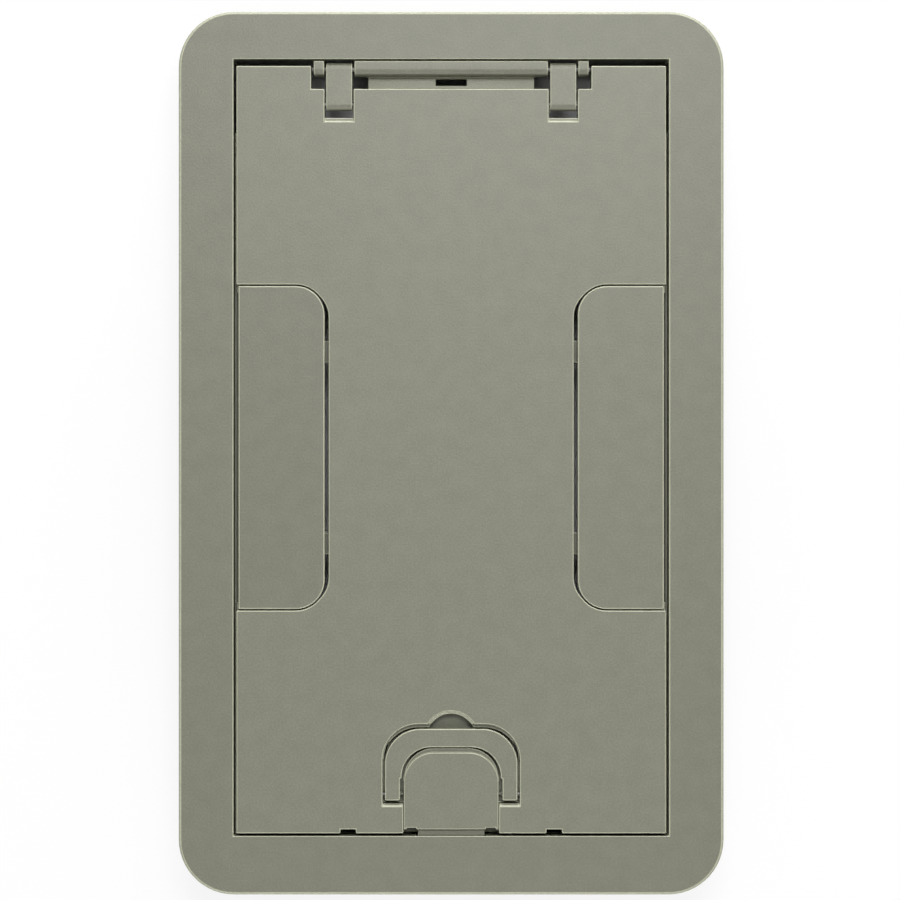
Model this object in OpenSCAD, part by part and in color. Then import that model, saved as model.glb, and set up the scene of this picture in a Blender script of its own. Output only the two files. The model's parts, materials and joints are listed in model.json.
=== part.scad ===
// Recessed floor box cover: flanged frame, lid on two swinging links, two cable doors in the
// lid's sides, and a flush bail handle that draws back a latch slide.
// The origin is under the middle of the flange, at the lower end of the skirt.
// +Z is up out of the floor and +Y points to the hinge.

/* [Frame] */
// Width of the flange
flange_w = 192.6; // [180:0.2:210]
// Length of the flange
flange_l = 312; // [300:0.5:330]
// Corner radius of the flange
flange_r = 19.5; // [12:0.5:24]
// Thickness of the flange
flange_t = 3.5; // [3:0.1:4]
// Bevel round the upper edge of the flange
flange_bevel = 0.6; // [0.3:0.1:1]
// Height from the end of the skirt to the top of the flange
total_h = 32; // [30:1:45]
// Width of the opening that the lid fills
opening_w = 153.8; // [153.6:0.1:154.4]
// Length of the opening
opening_l = 274.5; // [274.4:0.1:275]
// Distance of the opening's middle from the flange's middle, towards the hinge
opening_shift = 2; // [0:0.5:4]
// Thickness of the skirt's wall
skirt_t = 2.4; // [2:0.1:3]
// Width of the ledge that carries the lid
ledge_w = 4.5; // [4:0.1:5]

/* [Lid] */
// Thickness of the lid's plate
lid_t = 3.2; // [3:0.1:3.4]
// Depth of the lid's rim
rim_h = 8; // [7.8:0.1:8.4]
// Thickness of the lid's rim
rim_t = 2.2; // [1.8:0.1:2.6]
// Gap between the lid's sides and the frame
side_gap = 1; // [0.8:0.1:1.2]

/* [Hinge] */
// Distance between the two pins of a hinge arm
link_l = 12.5; // [12.3:0.1:12.7]
// Radius of the arm's round ends
arm_r = 2.2; // [2:0.1:2.3]
// Width of a hinge arm
arm_w = 9.2; // [9:0.1:9.6]
// Distance from the middle of the cover to the middle of an arm
arm_x = 39.6; // [39.4:0.1:39.8]
// Diameter of the hinge pins
hinge_pin_d = 2; // [1.8:0.1:2.2]

/* [Cable doors] */
// Length of a cable door
door_l = 114.2; // [100:0.2:116]
// Radius of a door's two inner corners
door_r = 10.3; // [9:0.1:12]
// Diameter of a door's pin
door_pin_d = 1.6; // [1.4:0.1:1.8]

/* [Handle and latch] */
// Half of the handle's width over its legs
bail_half_w = 23.4; // [23:0.1:23.6]
// Thickness of the handle
bail_t = 4.2; // [4:0.1:4.3]
// How far the handle draws the latch back
latch_travel = 1.5; // [1.2:0.1:1.6]

/* [Hidden] */
$fn = 64;
thread_gap = 0.02;   // between a fixed pin or screw and its hole, on the radius
run_gap = 0.05;      // between a turning part and its pin, on the radius
through = 1;         // how far a cutting shape runs past a face

// Colours
cast_grey = "#8b8b7e";
rubber_black = "#1c1c1b";
foam_grey = "#3a3a38";
steel_grey = "#a9a9a6";

// Heights are measured down from the top of the flange, and Y from the middle of the opening
seal_t = 1.2;
ledge_z = -(rim_h + seal_t);
ledge_t = 3;
ledge_end = 112;          // the ledge stops here, clear of the lid's tail when it swings down
half_w = opening_w / 2;
half_l = opening_l / 2;

// Hinge
hinge_z = -arm_r - 0.2;
frame_pin_y = half_l - 3.45;
lid_pin_y = frame_pin_y - link_l;
bar_half = 34.2;
tab_in = 44.9;
tab_out = 48.6;
knuckle_back = half_l - 0.65;   // a narrow groove parts the knuckles from the flange
groove_z = -3;
web_z = -8.5;
shelf_half = 29.5;
shelf_y = 127.2;
shelf_z = -6;
shelf_notch_half = 5.5;
frame_pin_end = 49.2;
frame_pin_start = 28.2;
lid_pin_start = 30.6;
lid_pin_end = 48.6;

// Lid outline
lid_half = half_w - side_gap;
lid_front = -half_l + 0.95;
lid_rear = half_l - 2.45;
notch_half = 49.5;
notch_y = 126.7;
slot_in = 34.6;
slot_out = 44.9;
slot_end = 115.2;
slot_step_l = 1.3;
slot_step_z = -0.9;
drain_in = 33.7;
drain_out = 39.1;
drain_l = 1.4;

// Cable doors
door_in = 44.7;
door_out = lid_half - 0.7;
door_gap = 0.5;
hinge_gap = 1.4;         // wider along the hinge, where the necks come through
cut_in = door_in - hinge_gap;
cut_half = door_l / 2 + door_gap;
relief_half = cut_half - 1.3;
door_rail_w = 5;
door_rail_h = 4;
door_pin_half = 43;

// Swan necks that carry a door round the edge of the lid
door_axis_x = door_in - 4;
door_axis_z = -2.5;
neck_ys = [-34, 34];
neck_w = 8;
neck_r = 1.35;
neck_leg_half = 0.9;
neck_inner = 3.2;        // from the axis to the inside of the neck
neck_t = 1.7;
neck_foot_in = door_in + 0.6;
neck_foot_out = door_in + 3;
neck_pocket_gap = 0.4;
neck_pocket_z = -0.95;
pin_bar_half = 1.6;
pin_bar_h = 2.2;

door_rib_h = 7;
door_rib_t = 2;
door_rib_in = 52;
door_rib_out = 71.9;
door_rib_half = 50;
lip_w = 2.85;
lip_t = 2;
lip_in = 52;

// Handle recess
recess_half = 24.25;
recess_top = -97.7;
recess_bottom = -125.8;
recess_r = 12.6;
recess_z = -5.4;
rebate_w = 1.4;          // the recess is shallow between this line and its upper edge
rebate_z = -2;
catch_w = 0.9;           // bevel below the ends of the handle's legs
dish_r = 9.5;
dish_floor_r = 8.6;
dish_y = -102.6;
dish_rim_z = -0.5;
dish_z = recess_z;
pan_half = 29;
pan_top = -90.5;

// Handle
bail_top = -99.4;
bail_inner_top = -105.9;
bail_end = -124.7;
bail_inner_half = 17.5;
bail_leg_inner = 18.1;
bail_leg_step = -117;
bail_r = 12.5;
bail_inner_r = 10.5;
bail_axis_y = bail_end + bail_t / 2;
bail_sunk = 0.1;
bail_axis_z = -bail_sunk - bail_t / 2;
bail_pin_d = 1.8;
bail_pin_start = 18.5;
bail_pin_end = 28;
stud_arm = 1.6;          // from the handle's axis to the stud that draws the latch
stud_r = 0.7;
stud_end = 15.6;

// Latch slide
strike_half = 11.7;
slide_half = 16.7;
channel_half = 16.9;
slide_top = -107.8;
slide_front = -134.9;
slide_r = 10.6;
slide_z = -5.3;
slide_step_w = 1.5;      // a low step along the slide's round end
slide_step_z = -1.3;
slide_notch_in = strike_half + 0.6;
slide_notch_out = 15.7;
bolt_half = 11;
bolt_front = -136.5;
bolt_z = -2.3;
bolt_bevel = 1.2;
post_x = 7;
post_y = -126;
post_r = 2;
keeper_half = 12;
keeper_front = -131;
keeper_rear = -117;
keeper_z = -rim_h - 0.1;
keeper_t = 1.6;
keeper_tab_half = 4;
keeper_tab_t = 1.2;
keeper_tab_z = keeper_z - keeper_t - 2.6;
keeper_screw_r = 1.25;
lug_front = -104;
lug_t = 1.5;
spring_r = 1.5;
spring_wire_r = 0.3;
spring_turns = 7;
spring_steps = 16;
spring_z = keeper_z - 2.1;

// Strike clip on the frame
strike_t = 0.6;
strike_lip = 1.85;
strike_top = -1.4;
strike_low = -16;
strike_screw_x = 7;
strike_screw_z = -13;
strike_screw_r = 1.5;
strike_gap_half = 14;
strike_pocket = 1.4;       // room behind the clip, so that its lip can spring back
strike_pocket_low = -11;

// Screw ears
ear_x = 69.5;
ear_y = 104;
ear_half = 8;
gusset_t = 1.6;
ear_top = -16;
ear_t = 4;
ear_hole_r = 2.5;
shank_r = 2.3;
screw_r = 2.08;
thread_top = ear_top - ear_t - 0.5;
screw_end = -31;

// Ribs under the lid
rib_t = 2;
rib_z = -7;
long_rib_x = 20;
cross_ribs = [-72, -24, 24, 72, 104];

// Places its children with Z from the top of the flange and Y from the middle of the opening
module on_top() {
    translate([0, opening_shift, total_h]) children();
}

module both_sides() {
    children();
    mirror([1, 0, 0]) children();
}

module both_ends() {
    children();
    mirror([0, 1, 0]) children();
}

// A block between two opposite corners
module span(low, high) {
    translate(low) cube(high - low);
}

// A rod along X from one x to another
module rod_x(x0, x1, y, z, r) {
    translate([x0, y, z]) rotate([0, 90, 0]) cylinder(h = x1 - x0, r = r);
}

// A rod along Y from one y to another
module rod_y(y0, y1, x, z, r) {
    translate([x, y1, z]) rotate([90, 0, 0]) cylinder(h = y1 - y0, r = r);
}

module rounded_rect(w, l, r) {
    square([w - 2 * r, l], center = true);
    square([w, l - 2 * r], center = true);
    for (sx = [-1, 1], sy = [-1, 1])
        translate([sx * (w / 2 - r), sy * (l / 2 - r)]) circle(r);
}

// A block with a bevel round its upper edge, along one direction
module bevelled_bar(run, across, h, c) {
    rotate([90, 0, 90]) linear_extrude(run, center = true)
        polygon([[-across / 2, 0], [across / 2, 0], [across / 2, h - c],
                 [across / 2 - c, h], [c - across / 2, h], [-across / 2, h - c]]);
}

// A rounded plate with a bevel round its upper edge
module bevelled_plate(w, l, r, h, c) {
    bevelled_bar(w - 2 * r, l, h, c);
    rotate([0, 0, 90]) bevelled_bar(l - 2 * r, w, h, c);
    for (sx = [-1, 1], sy = [-1, 1])
        translate([sx * (w / 2 - r), sy * (l / 2 - r), 0]) {
            cylinder(h = h - c, r = r);
            translate([0, 0, h - c]) cylinder(h = c, r1 = r, r2 = r - c);
        }
}

// Frame

// Side view of a hinge knuckle: a round nose over the pin, and a root that runs into the wall
module knuckle_profile() {
    translate([frame_pin_y, hinge_z]) circle(arm_r);
    translate([frame_pin_y, hinge_z - arm_r]) square([knuckle_back - frame_pin_y, 2 * arm_r]);
    translate([frame_pin_y - arm_r, web_z])
        square([half_l - frame_pin_y + arm_r + skirt_t / 2, groove_z - web_z]);
}

module knuckle(x0, x1) {
    translate([x0, 0, 0]) rotate([90, 0, 90]) linear_extrude(x1 - x0) knuckle_profile();
}

module ledge() {
    both_sides() span([half_w - ledge_w, -half_l, ledge_z - ledge_t], [half_w, ledge_end, ledge_z]);
    difference() {
        span([-half_w, -half_l, ledge_z - ledge_t], [half_w, ledge_w - half_l, ledge_z]);
        span([-strike_gap_half, -half_l - through, ledge_z - ledge_t - through],
             [strike_gap_half, ledge_w - half_l + through, ledge_z + through]);
    }
}

module rear_shelf() {
    difference() {
        span([-shelf_half, shelf_y, web_z], [shelf_half, half_l, shelf_z]);
        span([-shelf_notch_half, shelf_y + 1.2, web_z - through], [shelf_notch_half, shelf_y + 3.6, 0]);
    }
}

module screw_ear() {
    span([ear_x - 6, ear_y - ear_half, ear_top - ear_t], [half_w + skirt_t / 2, ear_y + ear_half, ear_top]);
    // a gusset on each side of the ear, down the skirt's wall
    for (side = [-1, 1])
        translate([half_w, ear_y + side * (ear_half - gusset_t / 2), ear_top - ear_t]) rotate([90, 0, 0])
            linear_extrude(gusset_t, center = true) polygon([[0.5, 0], [-9, 0], [0.5, -8]]);
}

module frame_holes() {
    both_sides() {
        rod_x(frame_pin_start - 0.2, tab_out + through, frame_pin_y, hinge_z,
              hinge_pin_d / 2 + thread_gap);
        both_ends() translate([ear_x, ear_y, ear_top - ear_t - through])
            cylinder(h = ear_t + 2 * through, r = ear_hole_r);
        rod_y(-half_l - skirt_t - through, through - half_l, strike_screw_x, strike_screw_z,
              strike_screw_r + thread_gap);
    }
    span([-strike_half - 0.7, -half_l - strike_pocket, strike_pocket_low],
         [strike_half + 0.7, through - half_l, strike_top + 0.2]);
}

module frame() {
    color(cast_grey) on_top() difference() {
        union() {
            difference() {
                union() {
                    translate([0, -opening_shift, -flange_t])
                        bevelled_plate(flange_w, flange_l, flange_r, flange_t, flange_bevel);
                    span([-half_w - skirt_t, -half_l - skirt_t, -total_h],
                         [half_w + skirt_t, half_l + skirt_t, -flange_t / 2]);
                }
                span([-half_w, -half_l, -total_h - through], [half_w, half_l, through]);
            }
            ledge();
            rear_shelf();
            knuckle(-bar_half, bar_half);
            both_sides() {
                knuckle(tab_in, tab_out);
                both_ends() screw_ear();
            }
        }
        frame_holes();
    }
}

module flange_gasket() {
    gasket_t = 1.5;
    gasket_inset = 5;
    color(foam_grey) on_top() difference() {
        translate([0, -opening_shift, -flange_t - gasket_t]) linear_extrude(gasket_t)
            rounded_rect(flange_w - 2 * gasket_inset, flange_l - 2 * gasket_inset, flange_r - gasket_inset);
        span([-half_w - skirt_t - 0.2, -half_l - skirt_t - 0.2, -total_h],
             [half_w + skirt_t + 0.2, half_l + skirt_t + 0.2, 0]);
    }
}

module lid_seal() {
    seal_w = 3;
    seal_in = half_w - ledge_w + 0.5;
    seal_front = 0.5 - half_l;
    color(rubber_black) on_top() both_sides() {
        span([seal_in, seal_front, ledge_z], [seal_in + seal_w, ledge_end - 1, ledge_z + seal_t]);
        span([strike_gap_half + 0.5, seal_front, ledge_z],
             [seal_in + 0.5, seal_front + seal_w, ledge_z + seal_t]);
    }
}

module mounting_screws() {
    head_r = 4;
    head_h = 2.6;
    color(steel_grey) on_top() both_sides() both_ends() translate([ear_x, ear_y, 0]) difference() {
        union() {
            translate([0, 0, screw_end]) cylinder(h = ear_top - screw_end, r = screw_r);
            translate([0, 0, thread_top]) cylinder(h = ear_top - thread_top + 0.5, r = shank_r);
            translate([0, 0, ear_top]) cylinder(h = head_h / 2, r = head_r);
            translate([0, 0, ear_top + head_h / 2]) cylinder(h = head_h / 2, r1 = head_r, r2 = head_r - 1.2);
        }
        for (a = [0, 90])
            rotate([0, 0, a]) span([-2.2, -0.5, ear_top + 1], [2.2, 0.5, ear_top + head_h + through]);
    }
}

module hinge_pin() {
    color(steel_grey) on_top()
        rod_x(frame_pin_start, frame_pin_end, frame_pin_y, hinge_z, hinge_pin_d / 2);
}

module hinge_pin_left() {
    mirror([1, 0, 0]) hinge_pin();
}

module hinge_pin_right() {
    hinge_pin();
}

// Strike clip: a folded strip with its lip over the latch bolt
module strike_clip() {
    color(steel_grey) on_top() difference() {
        union() {
            span([-strike_half, -half_l, strike_low], [strike_half, strike_t - half_l, strike_top]);
            span([-strike_half, -half_l, strike_top - strike_t],
                 [strike_half, strike_lip - half_l, strike_top]);
        }
        both_sides() rod_y(-half_l - through, strike_t - half_l + through, strike_screw_x, strike_screw_z,
                           strike_screw_r + 0.1);
    }
}

module strike_screws() {
    head_r = 2.8;
    head_h = 1.5;
    under_head = strike_t - half_l;
    color(steel_grey) on_top() both_sides() difference() {
        union() {
            rod_y(-half_l - skirt_t, under_head + head_h / 2, strike_screw_x, strike_screw_z, strike_screw_r);
            rod_y(under_head, under_head + head_h, strike_screw_x, strike_screw_z, head_r);
        }
        span([strike_screw_x - 2, under_head + head_h - 0.7, strike_screw_z - 0.4],
             [strike_screw_x + 2, under_head + head_h + through, strike_screw_z + 0.4]);
    }
}

// Hinge arms

module arm_profile() {
    for (y = [frame_pin_y, lid_pin_y]) translate([y, hinge_z]) circle(arm_r);
    translate([lid_pin_y, hinge_z - arm_r]) square([link_l, 2 * arm_r]);
}

module hinge_arm() {
    color(cast_grey) on_top() difference() {
        translate([arm_x - arm_w / 2, 0, 0]) rotate([90, 0, 90]) linear_extrude(arm_w) arm_profile();
        for (y = [frame_pin_y, lid_pin_y])
            rod_x(arm_x - arm_w / 2 - through, arm_x + arm_w / 2 + through, y, hinge_z,
                  hinge_pin_d / 2 + run_gap);
    }
}

module hinge_arm_left() {
    mirror([1, 0, 0]) hinge_arm();
}

module hinge_arm_right() {
    hinge_arm();
}

module lid_pin() {
    color(steel_grey) on_top()
        rod_x(lid_pin_start, lid_pin_end, lid_pin_y, hinge_z, hinge_pin_d / 2);
}

module lid_pin_left() {
    mirror([1, 0, 0]) lid_pin();
}

module lid_pin_right() {
    lid_pin();
}

// Cable doors

// Outline of a door or of its cut-out: square at the lid's edge, round at the two inner corners
module door_outline(x_in, x_out, half, r) {
    translate([x_in + r, -half]) square([x_out - x_in - r, 2 * half]);
    translate([x_in, r - half]) square([x_out - x_in, 2 * (half - r)]);
    for (s = [-1, 1]) translate([x_in + r, s * (half - r)]) circle(r);
}

// The lid's cut-out for a door, made larger by t: an even gap at the ends, a wider one along the hinge
module cut_outline(t) {
    gap = door_gap + t;
    door_outline(door_in - gap, lid_half + through, door_l / 2 + gap, door_r + gap);
    door_outline(cut_in - t, lid_half + through, relief_half + t, door_r + t);
}

// Side view of a swan neck: round the pin, down, out under the lid's edge and up to the door
module neck_profile() {
    low = door_axis_z - neck_inner - neck_t;
    translate([door_axis_x, door_axis_z]) circle(neck_r);
    translate([door_axis_x - neck_leg_half, low]) square([2 * neck_leg_half, door_axis_z - low]);
    translate([door_axis_x - neck_leg_half, low])
        square([neck_foot_out - door_axis_x + neck_leg_half, neck_t]);
    translate([neck_foot_in, low]) square([neck_foot_out - neck_foot_in, -lid_t / 2 - low]);
}

module cable_door() {
    color(cast_grey) on_top() difference() {
        union() {
            for (y = neck_ys)
                translate([0, y + neck_w / 2, 0]) rotate([90, 0, 0]) linear_extrude(neck_w) neck_profile();
            translate([0, 0, -lid_t]) linear_extrude(lid_t)
                door_outline(door_in, door_out, door_l / 2, door_r);
            // the rail along the hinge, and the ribs under the plate
            translate([0, 0, -door_rail_h]) linear_extrude(door_rail_h) intersection() {
                door_outline(door_in, door_out, door_l / 2, door_r);
                translate([door_in, -door_l / 2]) square([door_rail_w, door_l]);
            }
            span([door_rib_out - door_rib_t, -door_rib_half, -door_rib_h],
                 [door_rib_out, door_rib_half, -lid_t]);
            for (y = [-door_rib_half, -1, door_rib_half - door_rib_t])
                span([door_rib_in, y, -door_rib_h], [door_rib_out, y + door_rib_t, -lid_t]);
        }
        rod_y(-door_l, door_l, door_axis_x, door_axis_z, door_pin_d / 2 + run_gap);
    }
}

module cable_door_left() {
    mirror([1, 0, 0]) cable_door();
}

module cable_door_right() {
    cable_door();
}

module door_pin() {
    color(steel_grey) on_top()
        rod_y(-door_pin_half, door_pin_half, door_axis_x, door_axis_z, door_pin_d / 2);
}

module door_pin_left() {
    mirror([1, 0, 0]) door_pin();
}

module door_pin_right() {
    door_pin();
}

// Lid

// The lid's outline, moved inwards by t
module lid_outline(t) {
    difference() {
        translate([t - lid_half, lid_front + t]) square([2 * (lid_half - t), lid_rear - lid_front - 2 * t]);
        translate([-notch_half - t, notch_y - t]) square([2 * (notch_half + t), lid_rear]);
        for (s = [-1, 1]) {
            translate([s * arm_x - (slot_out - slot_in) / 2 - t, slot_end - t])
                square([slot_out - slot_in + 2 * t, lid_rear]);
            scale([s, 1]) cut_outline(t);
        }
    }
}

module recess_outline() {
    straight = recess_half - recess_r;
    translate([-recess_half, recess_bottom]) square([2 * recess_half, recess_top - recess_r - recess_bottom]);
    translate([-straight, recess_bottom]) square([2 * straight, recess_top - recess_bottom]);
    for (s = [-1, 1]) translate([s * straight, recess_top - recess_r]) circle(recess_r);
}

// A slot along Y, as far as the latch travels
module post_slot() {
    slot_r = post_r + 0.2;
    travel = latch_travel + 0.2;
    for (y = [0, travel]) translate([0, y]) circle(slot_r);
    translate([-slot_r, 0]) square([2 * slot_r, travel]);
}

module handle_pan() {
    span([-pan_half, lid_front, -rim_h], [pan_half, pan_top, 0]);
}

// Side view of the bevel below a leg of the handle
module catch_profile() {
    edge = recess_bottom + through;
    polygon([[recess_bottom, -catch_w], [recess_bottom - catch_w, 0], [recess_bottom - catch_w, through],
             [edge, through], [edge, -catch_w]]);
}

module handle_cuts() {
    translate([0, 0, rebate_z]) linear_extrude(through - rebate_z) recess_outline();
    translate([0, 0, recess_z]) linear_extrude(through - recess_z) intersection() {
        recess_outline();
        translate([0, -rebate_w]) recess_outline();
    }
    both_sides() translate([channel_half - through, 0, 0]) rotate([90, 0, 90])
        linear_extrude(recess_half - channel_half + through) catch_profile();
    translate([0, dish_y, dish_rim_z]) cylinder(h = through - dish_rim_z, r = dish_r);
    translate([0, dish_y, dish_z]) cylinder(h = through - dish_z, r = dish_floor_r);
    span([-channel_half, lid_front - through, recess_z], [channel_half, recess_bottom + through, through]);
    both_sides() {
        translate([post_x, post_y, -rim_h - through]) linear_extrude(rim_h) post_slot();
        rod_x(recess_half - through, bail_pin_end + 0.2, bail_axis_y, bail_axis_z,
              bail_pin_d / 2 + thread_gap);
    }
}

module lid_ribs() {
    rib_top = 0.5 - lid_t;
    both_sides() span([long_rib_x - rib_t / 2, pan_top - through, rib_z],
                      [long_rib_x + rib_t / 2, notch_y - through, rib_top]);
    for (y = cross_ribs) {
        half = abs(y) > cut_half ? lid_half - through : cut_in - through;
        reach = y > 100 ? slot_in - rib_t : half;
        span([-reach, y - rib_t / 2, rib_z], [reach, y + rib_t / 2, rib_top]);
    }
}

// Thick places round the pins
module pin_bosses() {
    boss_w = 4.6;
    boss_front = lid_pin_y - 2.6;
    both_sides() {
        span([slot_in - boss_w, boss_front, -rim_h], [slot_in, notch_y - through, -lid_t / 2]);
        span([slot_out, boss_front, -rim_h], [slot_out + boss_w, notch_y - through, -lid_t / 2]);
        span([door_axis_x - pin_bar_half, -door_pin_half - 1, door_axis_z - pin_bar_h],
             [door_axis_x + pin_bar_half, door_pin_half + 1, -lid_t / 2]);
    }
}

module lid() {
    color(cast_grey) on_top() {
        difference() {
            union() {
                translate([0, 0, -lid_t]) linear_extrude(lid_t) lid_outline(0);
                difference() {
                    translate([0, 0, -rim_h]) linear_extrude(rim_h) lid_outline(0);
                    translate([0, 0, -rim_h - through])
                        linear_extrude(rim_h - lid_t + through) lid_outline(rim_t);
                }
                lid_ribs();
                pin_bosses();
                handle_pan();
                // the end of the return spring bears on this lug
                span([-keeper_tab_half, lug_front, keeper_tab_z],
                     [keeper_tab_half, lug_front + lug_t, -lid_t]);
                // a low step at the end of each arm's slot
                both_sides() span([slot_in - through, slot_end - through, -rim_h],
                                  [slot_out + through, slot_end + slot_step_l, slot_step_z]);
            }
            both_sides() translate([0, 0, -rim_h - through])
                linear_extrude(rim_h + 2 * through) cut_outline(0);
            // pockets under the lid's edge that the necks swing through
            both_sides() for (y = neck_ys)
                span([door_axis_x - neck_r - 0.25, y - neck_w / 2 - neck_pocket_gap, -rim_h - through],
                     [door_in, y + neck_w / 2 + neck_pocket_gap, neck_pocket_z]);
            both_sides() {
                rod_x(lid_pin_start - 0.2, lid_pin_end + 0.2, lid_pin_y, hinge_z,
                      hinge_pin_d / 2 + thread_gap);
                span([drain_in, lid_front - through, -rim_h - through],
                     [drain_out, lid_front + drain_l, through]);
                rod_y(-door_pin_half - 0.2, door_pin_half + 0.2, door_axis_x, door_axis_z,
                      door_pin_d / 2 + thread_gap);
            }
            handle_cuts();
        }
        // lips that carry the ends of the doors
        both_sides() both_ends()
            span([lip_in, cut_half - lip_w, -lid_t - lip_t], [lid_half, cut_half + 0.5, -lid_t]);
    }
}

// Handle

module bail_outline() {
    straight = bail_half_w - bail_r;
    inner_straight = bail_inner_half - bail_inner_r;
    difference() {
        union() {
            translate([-bail_half_w, bail_end]) square([2 * bail_half_w, bail_top - bail_r - bail_end]);
            translate([-straight, bail_end]) square([2 * straight, bail_top - bail_end]);
            for (s = [-1, 1]) translate([s * straight, bail_top - bail_r]) circle(bail_r);
        }
        translate([-bail_leg_inner, bail_end - through])
            square([2 * bail_leg_inner, bail_leg_step - bail_end + through]);
        translate([-bail_inner_half, bail_end])
            square([2 * bail_inner_half, bail_inner_top - bail_inner_r - bail_end]);
        translate([-inner_straight, bail_end]) square([2 * inner_straight, bail_inner_top - bail_end]);
        for (s = [-1, 1]) translate([s * inner_straight, bail_inner_top - bail_inner_r]) circle(bail_inner_r);
    }
}

module bail_handle() {
    color(cast_grey) on_top() {
        difference() {
            translate([0, 0, -bail_sunk - bail_t]) linear_extrude(bail_t) bail_outline();
            both_sides() rod_x(bail_leg_inner - through, bail_half_w + through, bail_axis_y, bail_axis_z,
                               bail_pin_d / 2 + run_gap);
        }
        both_sides() rod_x(stud_end, bail_leg_inner + 1, bail_axis_y, bail_axis_z - stud_arm, stud_r);
    }
}

module bail_pins() {
    color(steel_grey) on_top() both_sides()
        rod_x(bail_pin_start, bail_pin_end, bail_axis_y, bail_axis_z, bail_pin_d / 2);
}

// Latch

module slide_outline() {
    straight = slide_half - slide_r;
    translate([-slide_half, slide_front]) square([2 * slide_half, slide_top - slide_r - slide_front]);
    translate([-straight, slide_front]) square([2 * straight, slide_top - slide_front]);
    for (s = [-1, 1]) translate([s * straight, slide_top - slide_r]) circle(slide_r);
}

// Side view of the bolt: its lower front corner is bevelled, so the lid can be pushed shut
module bolt_profile() {
    root = slide_front + 2;
    polygon([[root, slide_z], [bolt_front + bolt_bevel, slide_z],
             [bolt_front, slide_z + 2 * bolt_bevel], [bolt_front, bolt_z], [root, bolt_z]]);
}

module latch_slide() {
    stud_slot_half = stud_r + 0.1;
    color(cast_grey) on_top() difference() {
        union() {
            translate([0, 0, slide_z]) linear_extrude(-slide_z) slide_outline();
            translate([0, slide_step_w, slide_z]) linear_extrude(slide_step_z - slide_z) slide_outline();
            translate([-bolt_half, 0, 0]) rotate([90, 0, 90]) linear_extrude(2 * bolt_half) bolt_profile();
            for (s = [-1, 1])
                translate([s * post_x, post_y, keeper_z]) cylinder(h = 1 - keeper_z, r = post_r);
        }
        span([-slide_half, slide_front, 0], [slide_half, slide_top, 2]);
        both_sides() {
            // slots for the handle's studs, and the cut corners beside the bolt
            span([stud_end - 0.3, bail_axis_y - stud_slot_half, slide_z - through],
                 [slide_half + through, bail_axis_y + stud_slot_half + 0.45, bail_axis_z + stud_r + 0.15]);
            span([slide_notch_in, slide_front - through, slide_z - through],
                 [slide_notch_out, slide_front + 0.6, through]);
            translate([post_x, post_y, keeper_z - through])
                cylinder(h = 3.4 + through, r = keeper_screw_r + thread_gap);
        }
    }
}

module latch_keeper() {
    color(steel_grey) on_top() difference() {
        union() {
            span([-keeper_half, keeper_front, keeper_z - keeper_t], [keeper_half, keeper_rear, keeper_z]);
            span([-keeper_tab_half, keeper_rear - keeper_tab_t, keeper_tab_z],
                 [keeper_tab_half, keeper_rear, keeper_z]);
        }
        for (s = [-1, 1]) translate([s * post_x, post_y, keeper_z - keeper_t - through])
            cylinder(h = keeper_t + 2 * through, r = keeper_screw_r + 0.1);
    }
}

module keeper_screws() {
    head_h = 1.4;
    color(steel_grey) on_top() both_sides() translate([post_x, post_y, keeper_z - keeper_t]) difference() {
        union() {
            cylinder(h = keeper_t + 3.2, r = keeper_screw_r);
            translate([0, 0, -head_h]) cylinder(h = head_h, r = 2.6);
        }
        for (a = [0, 90])
            rotate([0, 0, a]) span([-1.6, -0.3, -head_h - through], [1.6, 0.3, 0.7 - head_h]);
    }
}

// A coil spring along Y, swept as one closed tube
module coil_spring(y0, y1, r, wire_r, turns, steps, sides) {
    n = turns * steps;
    pitch = (y1 - y0 - 2 * wire_r) / n;
    points = [for (i = [0:n], k = [0:sides - 1])
        let (a = 360 * i / steps, b = 360 * k / sides, q = r + wire_r * cos(b))
        [q * cos(a), y0 + wire_r + pitch * i + wire_r * sin(b), q * sin(a)]];
    walls = [for (i = [0:n - 1], k = [0:sides - 1])
        let (k2 = (k + 1) % sides)
        [i * sides + k, i * sides + k2, (i + 1) * sides + k2, (i + 1) * sides + k]];
    start = [for (k = [sides - 1:-1:0]) k];
    end = [for (k = [0:sides - 1]) n * sides + k];
    polyhedron(points, concat(walls, [start], [end]));
}

module latch_spring() {
    color(steel_grey) on_top() translate([0, 0, spring_z])
        coil_spring(keeper_rear, lug_front, spring_r, spring_wire_r, spring_turns, spring_steps, 6);
}

frame();
flange_gasket();
lid_seal();
mounting_screws();
hinge_pin_left();
hinge_pin_right();
strike_clip();
strike_screws();
hinge_arm_left();
hinge_arm_right();
lid();
lid_pin_left();
lid_pin_right();
door_pin_left();
door_pin_right();
bail_pins();
latch_spring();
cable_door_left();
cable_door_right();
bail_handle();
latch_slide();
latch_keeper();
keeper_screws();
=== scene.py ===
import json
import math

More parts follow.
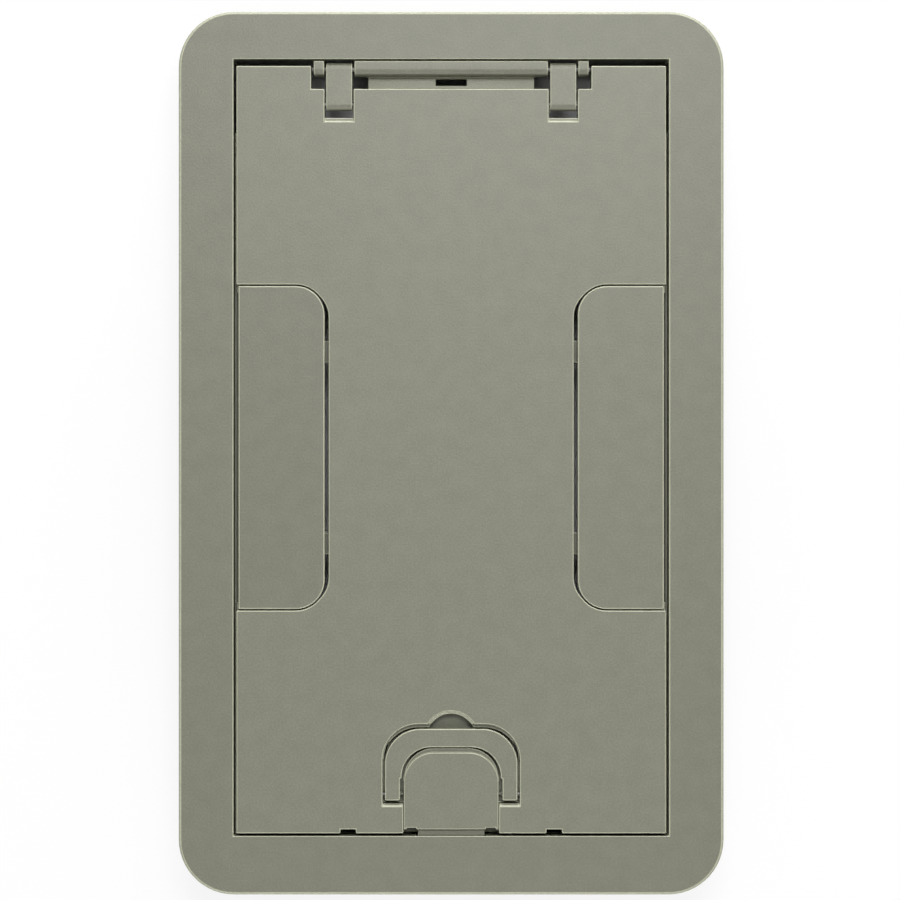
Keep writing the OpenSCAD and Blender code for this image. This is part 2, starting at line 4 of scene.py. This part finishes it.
import bpy
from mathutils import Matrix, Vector


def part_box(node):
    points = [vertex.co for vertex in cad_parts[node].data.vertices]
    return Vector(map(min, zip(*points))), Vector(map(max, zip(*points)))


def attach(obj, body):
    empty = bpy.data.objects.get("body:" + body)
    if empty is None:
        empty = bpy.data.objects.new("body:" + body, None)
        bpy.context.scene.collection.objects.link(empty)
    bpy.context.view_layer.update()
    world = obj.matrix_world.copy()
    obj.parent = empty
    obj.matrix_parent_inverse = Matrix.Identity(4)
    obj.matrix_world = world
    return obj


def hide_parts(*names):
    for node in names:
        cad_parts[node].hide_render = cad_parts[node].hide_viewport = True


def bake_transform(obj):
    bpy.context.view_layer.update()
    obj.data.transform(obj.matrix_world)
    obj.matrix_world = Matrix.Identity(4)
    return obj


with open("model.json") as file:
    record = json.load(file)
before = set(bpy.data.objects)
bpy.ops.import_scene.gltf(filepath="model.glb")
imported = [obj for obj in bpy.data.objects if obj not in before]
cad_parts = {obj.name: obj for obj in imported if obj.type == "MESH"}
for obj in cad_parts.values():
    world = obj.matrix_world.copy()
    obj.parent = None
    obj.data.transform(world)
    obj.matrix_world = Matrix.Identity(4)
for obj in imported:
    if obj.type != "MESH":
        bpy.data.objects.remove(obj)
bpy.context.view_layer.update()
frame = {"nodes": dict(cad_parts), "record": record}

MM = 0.001
nodes = frame["nodes"]
record = frame["record"]
slots = {part["node"]: part["material_slot"] for part in record["subparts"]}
scene = bpy.context.scene

# Driving sizes, in millimetres unless a comment says otherwise

VIEW_WIDTH = 317.9         # what the picture's width takes in, at the flange's top
VIEW_X = -0.42             # the camera's place over the flange
VIEW_Y = 1.13
LENS = 135.0
SENSOR = 36.0
VIEW_CLIP = (0.05, 20.0)   # metres
TOP_Z = 32.0               # top of the flange

# regions, as axis, middle and half size
UNDER_COVER = (("X", 0.0, 77.0), ("Y", 2.0, 137.2))                # the floor inside the skirt
SHELF_PAINTED_LIGHT_REGION = (("X", 0.0, 32.0), ("Y", 130.0, 7.0), ("Z", 26.0, 0.6))    # behind the hinge bar, where the frame's coat gets painted light

WELD_GAP = 0.01
FLAT_ANGLE = 1.0           # degrees: faces closer than this are one flat
EDGE_ANGLE = 32.0          # degrees: edges sharper than this are rounded
EDGE_SEGMENTS = 2
EDGE_ROUND = {
    "frame": 0.35,
    "lid": 0.36,
    "cable_door_left": 0.46,
    "cable_door_right": 0.46,
    "bail_handle": 0.38,
    "latch_slide": 0.28,
    "hinge_arm_left": 0.3,
    "hinge_arm_right": 0.3,
    "strike_clip": 0.12,
    "latch_keeper": 0.15,
}

THREAD_PITCH = 0.8         # of the mounting screws
THREAD_H = 0.17
THREAD_ROOT = 0.1          # how deep the ridge's foot is sunk in the screw
THREAD_FOOT = 0.3          # half the ridge's width at its foot
THREAD_CREST = 0.04        # half its width at the crest
THREAD_STEPS = 24          # in a turn

SPRING_WIRE = 0.6
SPRING_LIVE_TURNS = 5
SPRING_CLOSED_TURNS = 1.2  # at each end
SPRING_STEPS = 28          # in a turn
SPRING_SIDES = 12          # round the wire

# Colours and light

COAT = (0.190, 0.193, 0.143)
COAT_SPREAD = 0.10         # how far the grain takes the colour up and down
COAT_ROUGH = (0.34, 0.52)
GRAIN_SCALE = 1500.0
GRAIN_WEIGHT = 0.7
MOTTLE_SCALE = 160.0
EDGE_HIGHLIGHT_SHARE = 2.3           # painted highlight: how much lighter the coat is painted on a rounded edge
SHELF_PAINTED_LIGHT_GAIN = 1.9           # painted light on the shelf in the hinge bar's shade: how much lighter the coat is painted there
# each piece here gets its own share of the coat colour, all a little darker than the lid's; the
# left door's share is darker than the right door's as painted shade, for light falling from the
# right
COAT_SHADE_SHARES = {
    "frame": ("nickel_coat_frame_painted_shelf_light", 0.93),
    "cable_door_left": ("nickel_coat_door_left_painted_shade", 0.91),
    "cable_door_right": ("nickel_coat_door_right", 0.965),
}

FLOOR_REACH = 4.0          # metres
FLOOR_GREY = 0.93
FLOOR_WHITE = 0.82         # share of plain white that the camera sees outside the cover
WORLD_LOW = 0.50           # light near the horizon
WORLD_HIGH = 0.09          # light from overhead
WORLD_BAND = (0.1, 0.9)    # the height that it changes over
# name, place and target in metres, width, length, watts
LAMPS = (
    ("top", (0.08, 0.50, 1.5), (0.0, 0.05, 0.0), 0.5, 0.4, 10.0),
    ("key", (0.10, 0.62, 0.88), (0.0, 0.08, 0.0), 0.8, 0.40, 2.6),
    ("fill", (0.02, -0.60, 1.25), (0.0, -0.1, 0.0), 0.6, 0.5, 2.9),
    ("low", (0.0, -1.1, 0.34), (0.0, 0.0, 0.03), 1.2, 0.25, 5.6),
    ("rim", (0.15, 1.6, 0.32), (0.0, 0.0, 0.03), 1.8, 0.3, 28.0),
)


# Shader nodes

def node_tools(tree):
    """Short ways to add a node with its values and to link two sockets."""
    def add(kind, **values):
        made = tree.nodes.new("ShaderNode" + kind)
        for key, value in values.items():
            if key in made.inputs:
                made.inputs[key].default_value = value
            else:
                setattr(made, key, value)
        return made

    return add, tree.links.new


def new_material(name):
    """A material with its Principled shader and its node tools."""
    material = bpy.data.materials.new(name)
    material.use_nodes = True
    return material, material.node_tree.nodes["Principled BSDF"], *node_tools(material.node_tree)


def math_node(add, link, operation, *values):
    """A Math node; each value is a number or a socket. Returns its output."""
    made = add("Math", operation=operation)
    for socket, value in zip(made.inputs, values):
        if isinstance(value, (int, float)):
            socket.default_value = value
        else:
            link(value, socket)
    return made.outputs[0]


def inside_region(add, link, place, region):
    """1 inside the region and 0 outside it."""
    parts = add("SeparateXYZ")
    link(place.outputs["Object"], parts.inputs["Vector"])
    inside = None
    for axis, middle, half in region:
        near = math_node(add, link, "COMPARE", parts.outputs[axis], middle * MM, half * MM)
        inside = near if inside is None else math_node(add, link, "MULTIPLY", inside, near)
    return inside


def noise(add, link, vector, scale, detail, roughness):
    texture = add("TexNoise", Scale=scale, Detail=detail, Roughness=roughness)
    link(vector, texture.inputs["Vector"])
    return texture.outputs["Fac"]


def shaded(add, link, factor, colour, dark, light):
    """The colour from a dark share of it to a light one; both are (place, share)."""
    ramp = add("ValToRGB")
    for element, (place, share) in zip(ramp.color_ramp.elements, (dark, light)):
        element.position = place
        element.color = (*(share * c for c in colour), 1.0)
    link(factor, ramp.inputs["Fac"])
    return ramp.outputs["Color"]


def spread(add, link, factor, low, high):
    """The factor's range of 0 to 1 brought to low to high."""
    made = add("MapRange")
    made.inputs["To Min"].default_value = low
    made.inputs["To Max"].default_value = high
    link(factor, made.inputs["Value"])
    return made.outputs["Result"]


def bump(add, link, shader, height, strength, distance):
    made = add("Bump", Strength=strength, Distance=distance * MM)
    link(height, made.inputs["Height"])
    link(made.outputs["Normal"], shader.inputs["Normal"])


# Materials

def coat_material(name, share, painted_shelf_light=False):
    """Satin nickel-grey powder coat: fine grain with flecks, faint mottling, soft sheen."""
    material, shader, add, link = new_material(name)
    place = add("TexCoord")
    grain = noise(add, link, place.outputs["Object"], GRAIN_SCALE, 2.0, 0.5)
    mottle = noise(add, link, place.outputs["Object"], MOTTLE_SCALE, 3.0, 0.5)
    faint = math_node(add, link, "MULTIPLY", mottle, 1.0 - GRAIN_WEIGHT)
    both = math_node(add, link, "MULTIPLY_ADD", grain, GRAIN_WEIGHT, faint)
    colour = shaded(add, link, both, tuple(share * c for c in COAT),
                    (0.36, 1.0 - COAT_SPREAD), (0.64, 1.0 + COAT_SPREAD))
    # painted light: the coat colour on the shelf behind the hinge bar is made lighter, standing
    # in for light in the bar's shade
    if painted_shelf_light:
        shelf_light_mask = inside_region(add, link, place, SHELF_PAINTED_LIGHT_REGION)
        shelf_light_gain = add("VectorMath", operation="SCALE")
        link(colour, shelf_light_gain.inputs[0])
        link(math_node(add, link, "MULTIPLY_ADD", shelf_light_mask, SHELF_PAINTED_LIGHT_GAIN - 1.0, 1.0),
             shelf_light_gain.inputs["Scale"])
        colour = shelf_light_gain.outputs[0]
    link(colour, shader.inputs["Base Color"])
    link(spread(add, link, grain, *COAT_ROUGH), shader.inputs["Roughness"])
    bump(add, link, shader, grain, 0.5, 0.08)
    shader.inputs["Metallic"].default_value = 0.0
    shader.inputs["Specular IOR Level"].default_value = 0.5
    return material


def rubber_material(name, colour, roughness, scale):
    """Matt rubber or foam with a fine cell structure."""
    material, shader, add, link = new_material(name)
    cells = noise(add, link, add("TexCoord").outputs["Object"], scale, 4.0, 0.7)
    link(shaded(add, link, cells, colour, (0.35, 0.75), (0.7, 1.3)), shader.inputs["Base Color"])
    bump(add, link, shader, cells, 0.4, 0.2)
    shader.inputs["Roughness"].default_value = roughness
    shader.inputs["Specular IOR Level"].default_value = 0.25
    return material


def steel_material(name, colour, roughness, stretch):
    """Steel with fine drawn or turned marks, which the stretch draws out."""
    material, shader, add, link = new_material(name)
    mapping = add("Mapping", Scale=stretch)
    link(add("TexCoord").outputs["Object"], mapping.inputs["Vector"])
    marks = noise(add, link, mapping.outputs["Vector"], 900.0, 3.0, 0.6)
    link(shaded(add, link, marks, colour, (0.3, 0.82), (0.7, 1.1)), shader.inputs["Base Color"])
    link(spread(add, link, marks, roughness - 0.08, roughness + 0.1), shader.inputs["Roughness"])
    bump(add, link, shader, marks, 0.15, 0.05)
    shader.inputs["Metallic"].default_value = 1.0
    return material


# painted highlight: a lighter coat for the rounded edges
edge_highlight_coat = coat_material("nickel_coat_painted_edge_highlight", EDGE_HIGHLIGHT_SHARE)
# the frame's and doors' coats, carrying the painted shade of their shares and the frame's
# painted shelf light
PIECE_SHADE_COATS = {
    node: coat_material(name, share, painted_shelf_light=(node == "frame"))
    for node, (name, share) in COAT_SHADE_SHARES.items()
}
FINISHES = {
    "cast_coat": coat_material("nickel_coat", 1.0),
    "gasket_foam": rubber_material("gasket_foam", (0.035, 0.035, 0.034), 0.9, 900.0),
    "seal_rubber": rubber_material("seal_rubber", (0.006, 0.006, 0.006), 0.75, 1400.0),
    "pin_steel": steel_material("pin_steel", (0.16, 0.16, 0.15), 0.50, (0.1, 1.0, 1.0)),
    "screw_steel": steel_material("screw_steel", (0.50, 0.50, 0.47), 0.36, (1.0, 1.0, 0.2)),
}


def paint(piece, material):
    piece.data.materials.clear()
    piece.data.materials.append(material)


for name, slot in slots.items():
    paint(nodes[name], PIECE_SHADE_COATS.get(name, FINISHES[slot]))


# Edges of the castings and stampings, which have no sharp corners

def round_edges(name, width):
    """Rounds a CAD node's sharp edges with modifiers; its mesh stays as it is."""
    piece = nodes[name]
    for polygon in piece.data.polygons:
        polygon.use_smooth = True
    weld = piece.modifiers.new("weld", "WELD")
    weld.merge_threshold = WELD_GAP * MM
    merge = piece.modifiers.new("merge_flats", "DECIMATE")
    merge.decimate_type = "DISSOLVE"
    merge.angle_limit = math.radians(FLAT_ANGLE)
    bevel = piece.modifiers.new("round", "BEVEL")
    bevel.limit_method = "ANGLE"
    bevel.angle_limit = math.radians(EDGE_ANGLE)
    bevel.width = width * MM
    bevel.segments = EDGE_SEGMENTS
    bevel.use_clamp_overlap = False
    bevel.harden_normals = True
    if slots[name] == "cast_coat":
        # painted highlight: the rounded faces, which are the second slot, get a lighter coat
        piece.data.materials.append(edge_highlight_coat)
        bevel.material = 1
    flats = piece.modifiers.new("flat_shading", "WEIGHTED_NORMAL")
    flats.mode = "FACE_AREA"
    flats.weight = 90
    flats.keep_sharp = True


for name, width in EDGE_ROUND.items():
    round_edges(name, width)


# Pieces made here: the threads of the mounting screws and the wound return spring

def tube_mesh(name, rings):
    """A closed tube through the rings of points, with a face at each end."""
    sides = len(rings[0])
    points = [point for ring in rings for point in ring]
    faces = []
    for i in range(len(rings) - 1):
        for k in range(sides):
            a, b = i * sides + k, i * sides + (k + 1) % sides
            faces.append((a, b, b + sides, a + sides))
    faces.append(tuple(range(sides - 1, -1, -1)))
    faces.append(tuple(range(len(points) - sides, len(points))))
    mesh = bpy.data.meshes.new(name)
    mesh.from_pydata(points, [], faces)
    for polygon in mesh.polygons:
        polygon.use_smooth = True
    piece = bpy.data.objects.new(name, mesh)
    scene.collection.objects.link(piece)
    return piece


def thread_ridge(name, start, turns, pitch, radius, profile):
    """A ridge wound round Z, with the profile as (outwards, along) points."""
    rings = []
    last = turns * THREAD_STEPS
    for i in range(last + 1):
        angle = 2.0 * math.pi * i / THREAD_STEPS
        # the ends taper off over a quarter turn
        fade = min(1.0, 4.0 * i / THREAD_STEPS, 4.0 * (last - i) / THREAD_STEPS)
        ring = []
        for out, along in profile:
            reach = radius + out * fade
            ring.append((start.x + reach * math.cos(angle),
                         start.y + reach * math.sin(angle),
                         start.z + pitch * i / THREAD_STEPS + along))
        rings.append(ring)
    return tube_mesh(name, rings)


def add_threads():
    """A thread ridge on each mounting screw, below its plain shank."""
    mount = next(m for m in record["mounts"] if m["name"] == "box_screws")
    middle = Vector(mount["pos_m"])
    half_x = mount["dims"]["spacing_x_mm"] / 2 * MM
    half_y = mount["dims"]["spacing_y_mm"] / 2 * MM
    screw_r = mount["dims"]["stud_r_mm"] * MM
    pitch = THREAD_PITCH * MM
    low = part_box("mounting_screws")[0][2]
    turns = int((middle.z - low - 2 * pitch) / pitch)
    profile = [(-THREAD_ROOT * MM, -THREAD_FOOT * MM), (THREAD_H * MM, -THREAD_CREST * MM),
               (THREAD_H * MM, THREAD_CREST * MM), (-THREAD_ROOT * MM, THREAD_FOOT * MM)]
    for i, (sx, sy) in enumerate(((-1, -1), (1, -1), (-1, 1), (1, 1)), 1):
        start = Vector((middle.x + sx * half_x, middle.y + sy * half_y, low + pitch))
        thread = thread_ridge(f"screw_thread_{i}", start, turns, pitch, screw_r, profile)
        paint(thread, FINISHES["screw_steel"])
        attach(thread, "frame")


def add_spring():
    """The latch's return spring, with a closed turn at each end."""
    low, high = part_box("latch_spring")
    wire = SPRING_WIRE / 2 * MM
    radius = (high[0] - low[0]) / 2 - wire
    middle_x, middle_z = (low[0] + high[0]) / 2, (low[2] + high[2]) / 2
    closed = SPRING_CLOSED_TURNS
    turns = SPRING_LIVE_TURNS + 2 * closed
    dead = closed * SPRING_WIRE * MM
    live = high[1] - low[1] - SPRING_WIRE * MM - 2 * dead
    rings = []
    for i in range(int(turns * SPRING_STEPS) + 1):
        turn = i / SPRING_STEPS
        y = low[1] + wire + min(turn, closed) * dead / closed
        y += max(0.0, min(turn, turns - closed) - closed) * live / (turns - 2 * closed)
        y += max(0.0, turn - turns + closed) * dead / closed
        angle = 2.0 * math.pi * turn
        ring = []
        for k in range(SPRING_SIDES):
            round_wire = 2.0 * math.pi * k / SPRING_SIDES
            reach = radius + wire * math.cos(round_wire)
            ring.append((middle_x + reach * math.cos(angle), y + wire * math.sin(round_wire),
                         middle_z + reach * math.sin(angle)))
        rings.append(ring)
    spring = tube_mesh("return_spring", rings)
    paint(spring, FINISHES["pin_steel"])
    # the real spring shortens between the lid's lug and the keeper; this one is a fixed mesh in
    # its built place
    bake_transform(spring)
    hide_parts("latch_spring")


add_threads()
add_spring()


# Stage, light and camera

def stage_material():
    """Pale floor: white to the camera outside the cover, plain under it and in the shadow."""
    material, shader, add, link = new_material("pale_floor")
    shader.inputs["Base Color"].default_value = (FLOOR_GREY, FLOOR_GREY, FLOOR_GREY, 1.0)
    shader.inputs["Roughness"].default_value = 0.9
    under = inside_region(add, link, add("TexCoord"), UNDER_COVER)
    outside = math_node(add, link, "SUBTRACT", 1.0, under)
    rays = add("LightPath")
    seen = math_node(add, link, "MAXIMUM", rays.outputs["Is Camera Ray"],
                     rays.outputs["Is Glossy Ray"])
    share = math_node(add, link, "MULTIPLY", seen, outside)
    white = add("Emission")
    white.inputs["Color"].default_value = (1.0, 1.0, 1.0, 1.0)
    mix = add("MixShader")
    link(math_node(add, link, "MULTIPLY", share, FLOOR_WHITE), mix.inputs["Fac"])
    link(shader.outputs["BSDF"], mix.inputs[1])
    link(white.outputs["Emission"], mix.inputs[2])
    output = material.node_tree.nodes["Material Output"]
    link(mix.outputs["Shader"], output.inputs["Surface"])
    return material


def add_floor():
    mesh = bpy.data.meshes.new("floor")
    corners = [(x * FLOOR_REACH, y * FLOOR_REACH, 0)
               for x, y in ((-1, -1), (1, -1), (1, 1), (-1, 1))]
    mesh.from_pydata(corners, [], [(0, 1, 2, 3)])
    floor = bpy.data.objects.new("floor", mesh)
    scene.collection.objects.link(floor)
    floor.data.materials.append(stage_material())


def add_lamp(name, place, target, width, length, watts):
    light = bpy.data.lights.new(name, "AREA")
    light.shape = "RECTANGLE"
    light.size = width
    light.size_y = length
    light.energy = watts
    lamp = bpy.data.objects.new(name, light)
    scene.collection.objects.link(lamp)
    lamp.location = place
    towards = Vector(target) - Vector(place)
    lamp.rotation_euler = towards.to_track_quat("-Z", "Y").to_euler()


def add_world():
    """Soft light from all round, brighter towards the horizon than overhead."""
    world = bpy.data.worlds.new("studio")
    scene.world = world
    world.use_nodes = True
    background = world.node_tree.nodes["Background"]
    background.inputs["Color"].default_value = (1.0, 1.0, 1.0, 1.0)
    add, link = node_tools(world.node_tree)
    parts = add("SeparateXYZ")
    link(add("TexCoord").outputs["Generated"], parts.inputs["Vector"])
    height = add("MapRange")
    height.inputs["From Min"].default_value, height.inputs["From Max"].default_value = WORLD_BAND
    height.inputs["To Min"].default_value = WORLD_LOW
    height.inputs["To Max"].default_value = WORLD_HIGH
    link(parts.outputs["Z"], height.inputs["Value"])
    link(height.outputs["Result"], background.inputs["Strength"])


def add_camera():
    """The camera looks straight down at the flange's top."""
    data = bpy.data.cameras.new("camera")
    data.lens = LENS
    data.sensor_width = SENSOR
    data.clip_start, data.clip_end = VIEW_CLIP
    camera = bpy.data.objects.new("camera", data)
    scene.collection.objects.link(camera)
    height = VIEW_WIDTH * LENS / SENSOR
    camera.location = (VIEW_X * MM, VIEW_Y * MM, (TOP_Z + height) * MM)
    camera.rotation_euler = (0.0, 0.0, 0.0)
    scene.camera = camera


add_floor()
for lamp in LAMPS:
    add_lamp(*lamp)
add_world()
add_camera()
scene.view_settings.view_transform = "Standard"
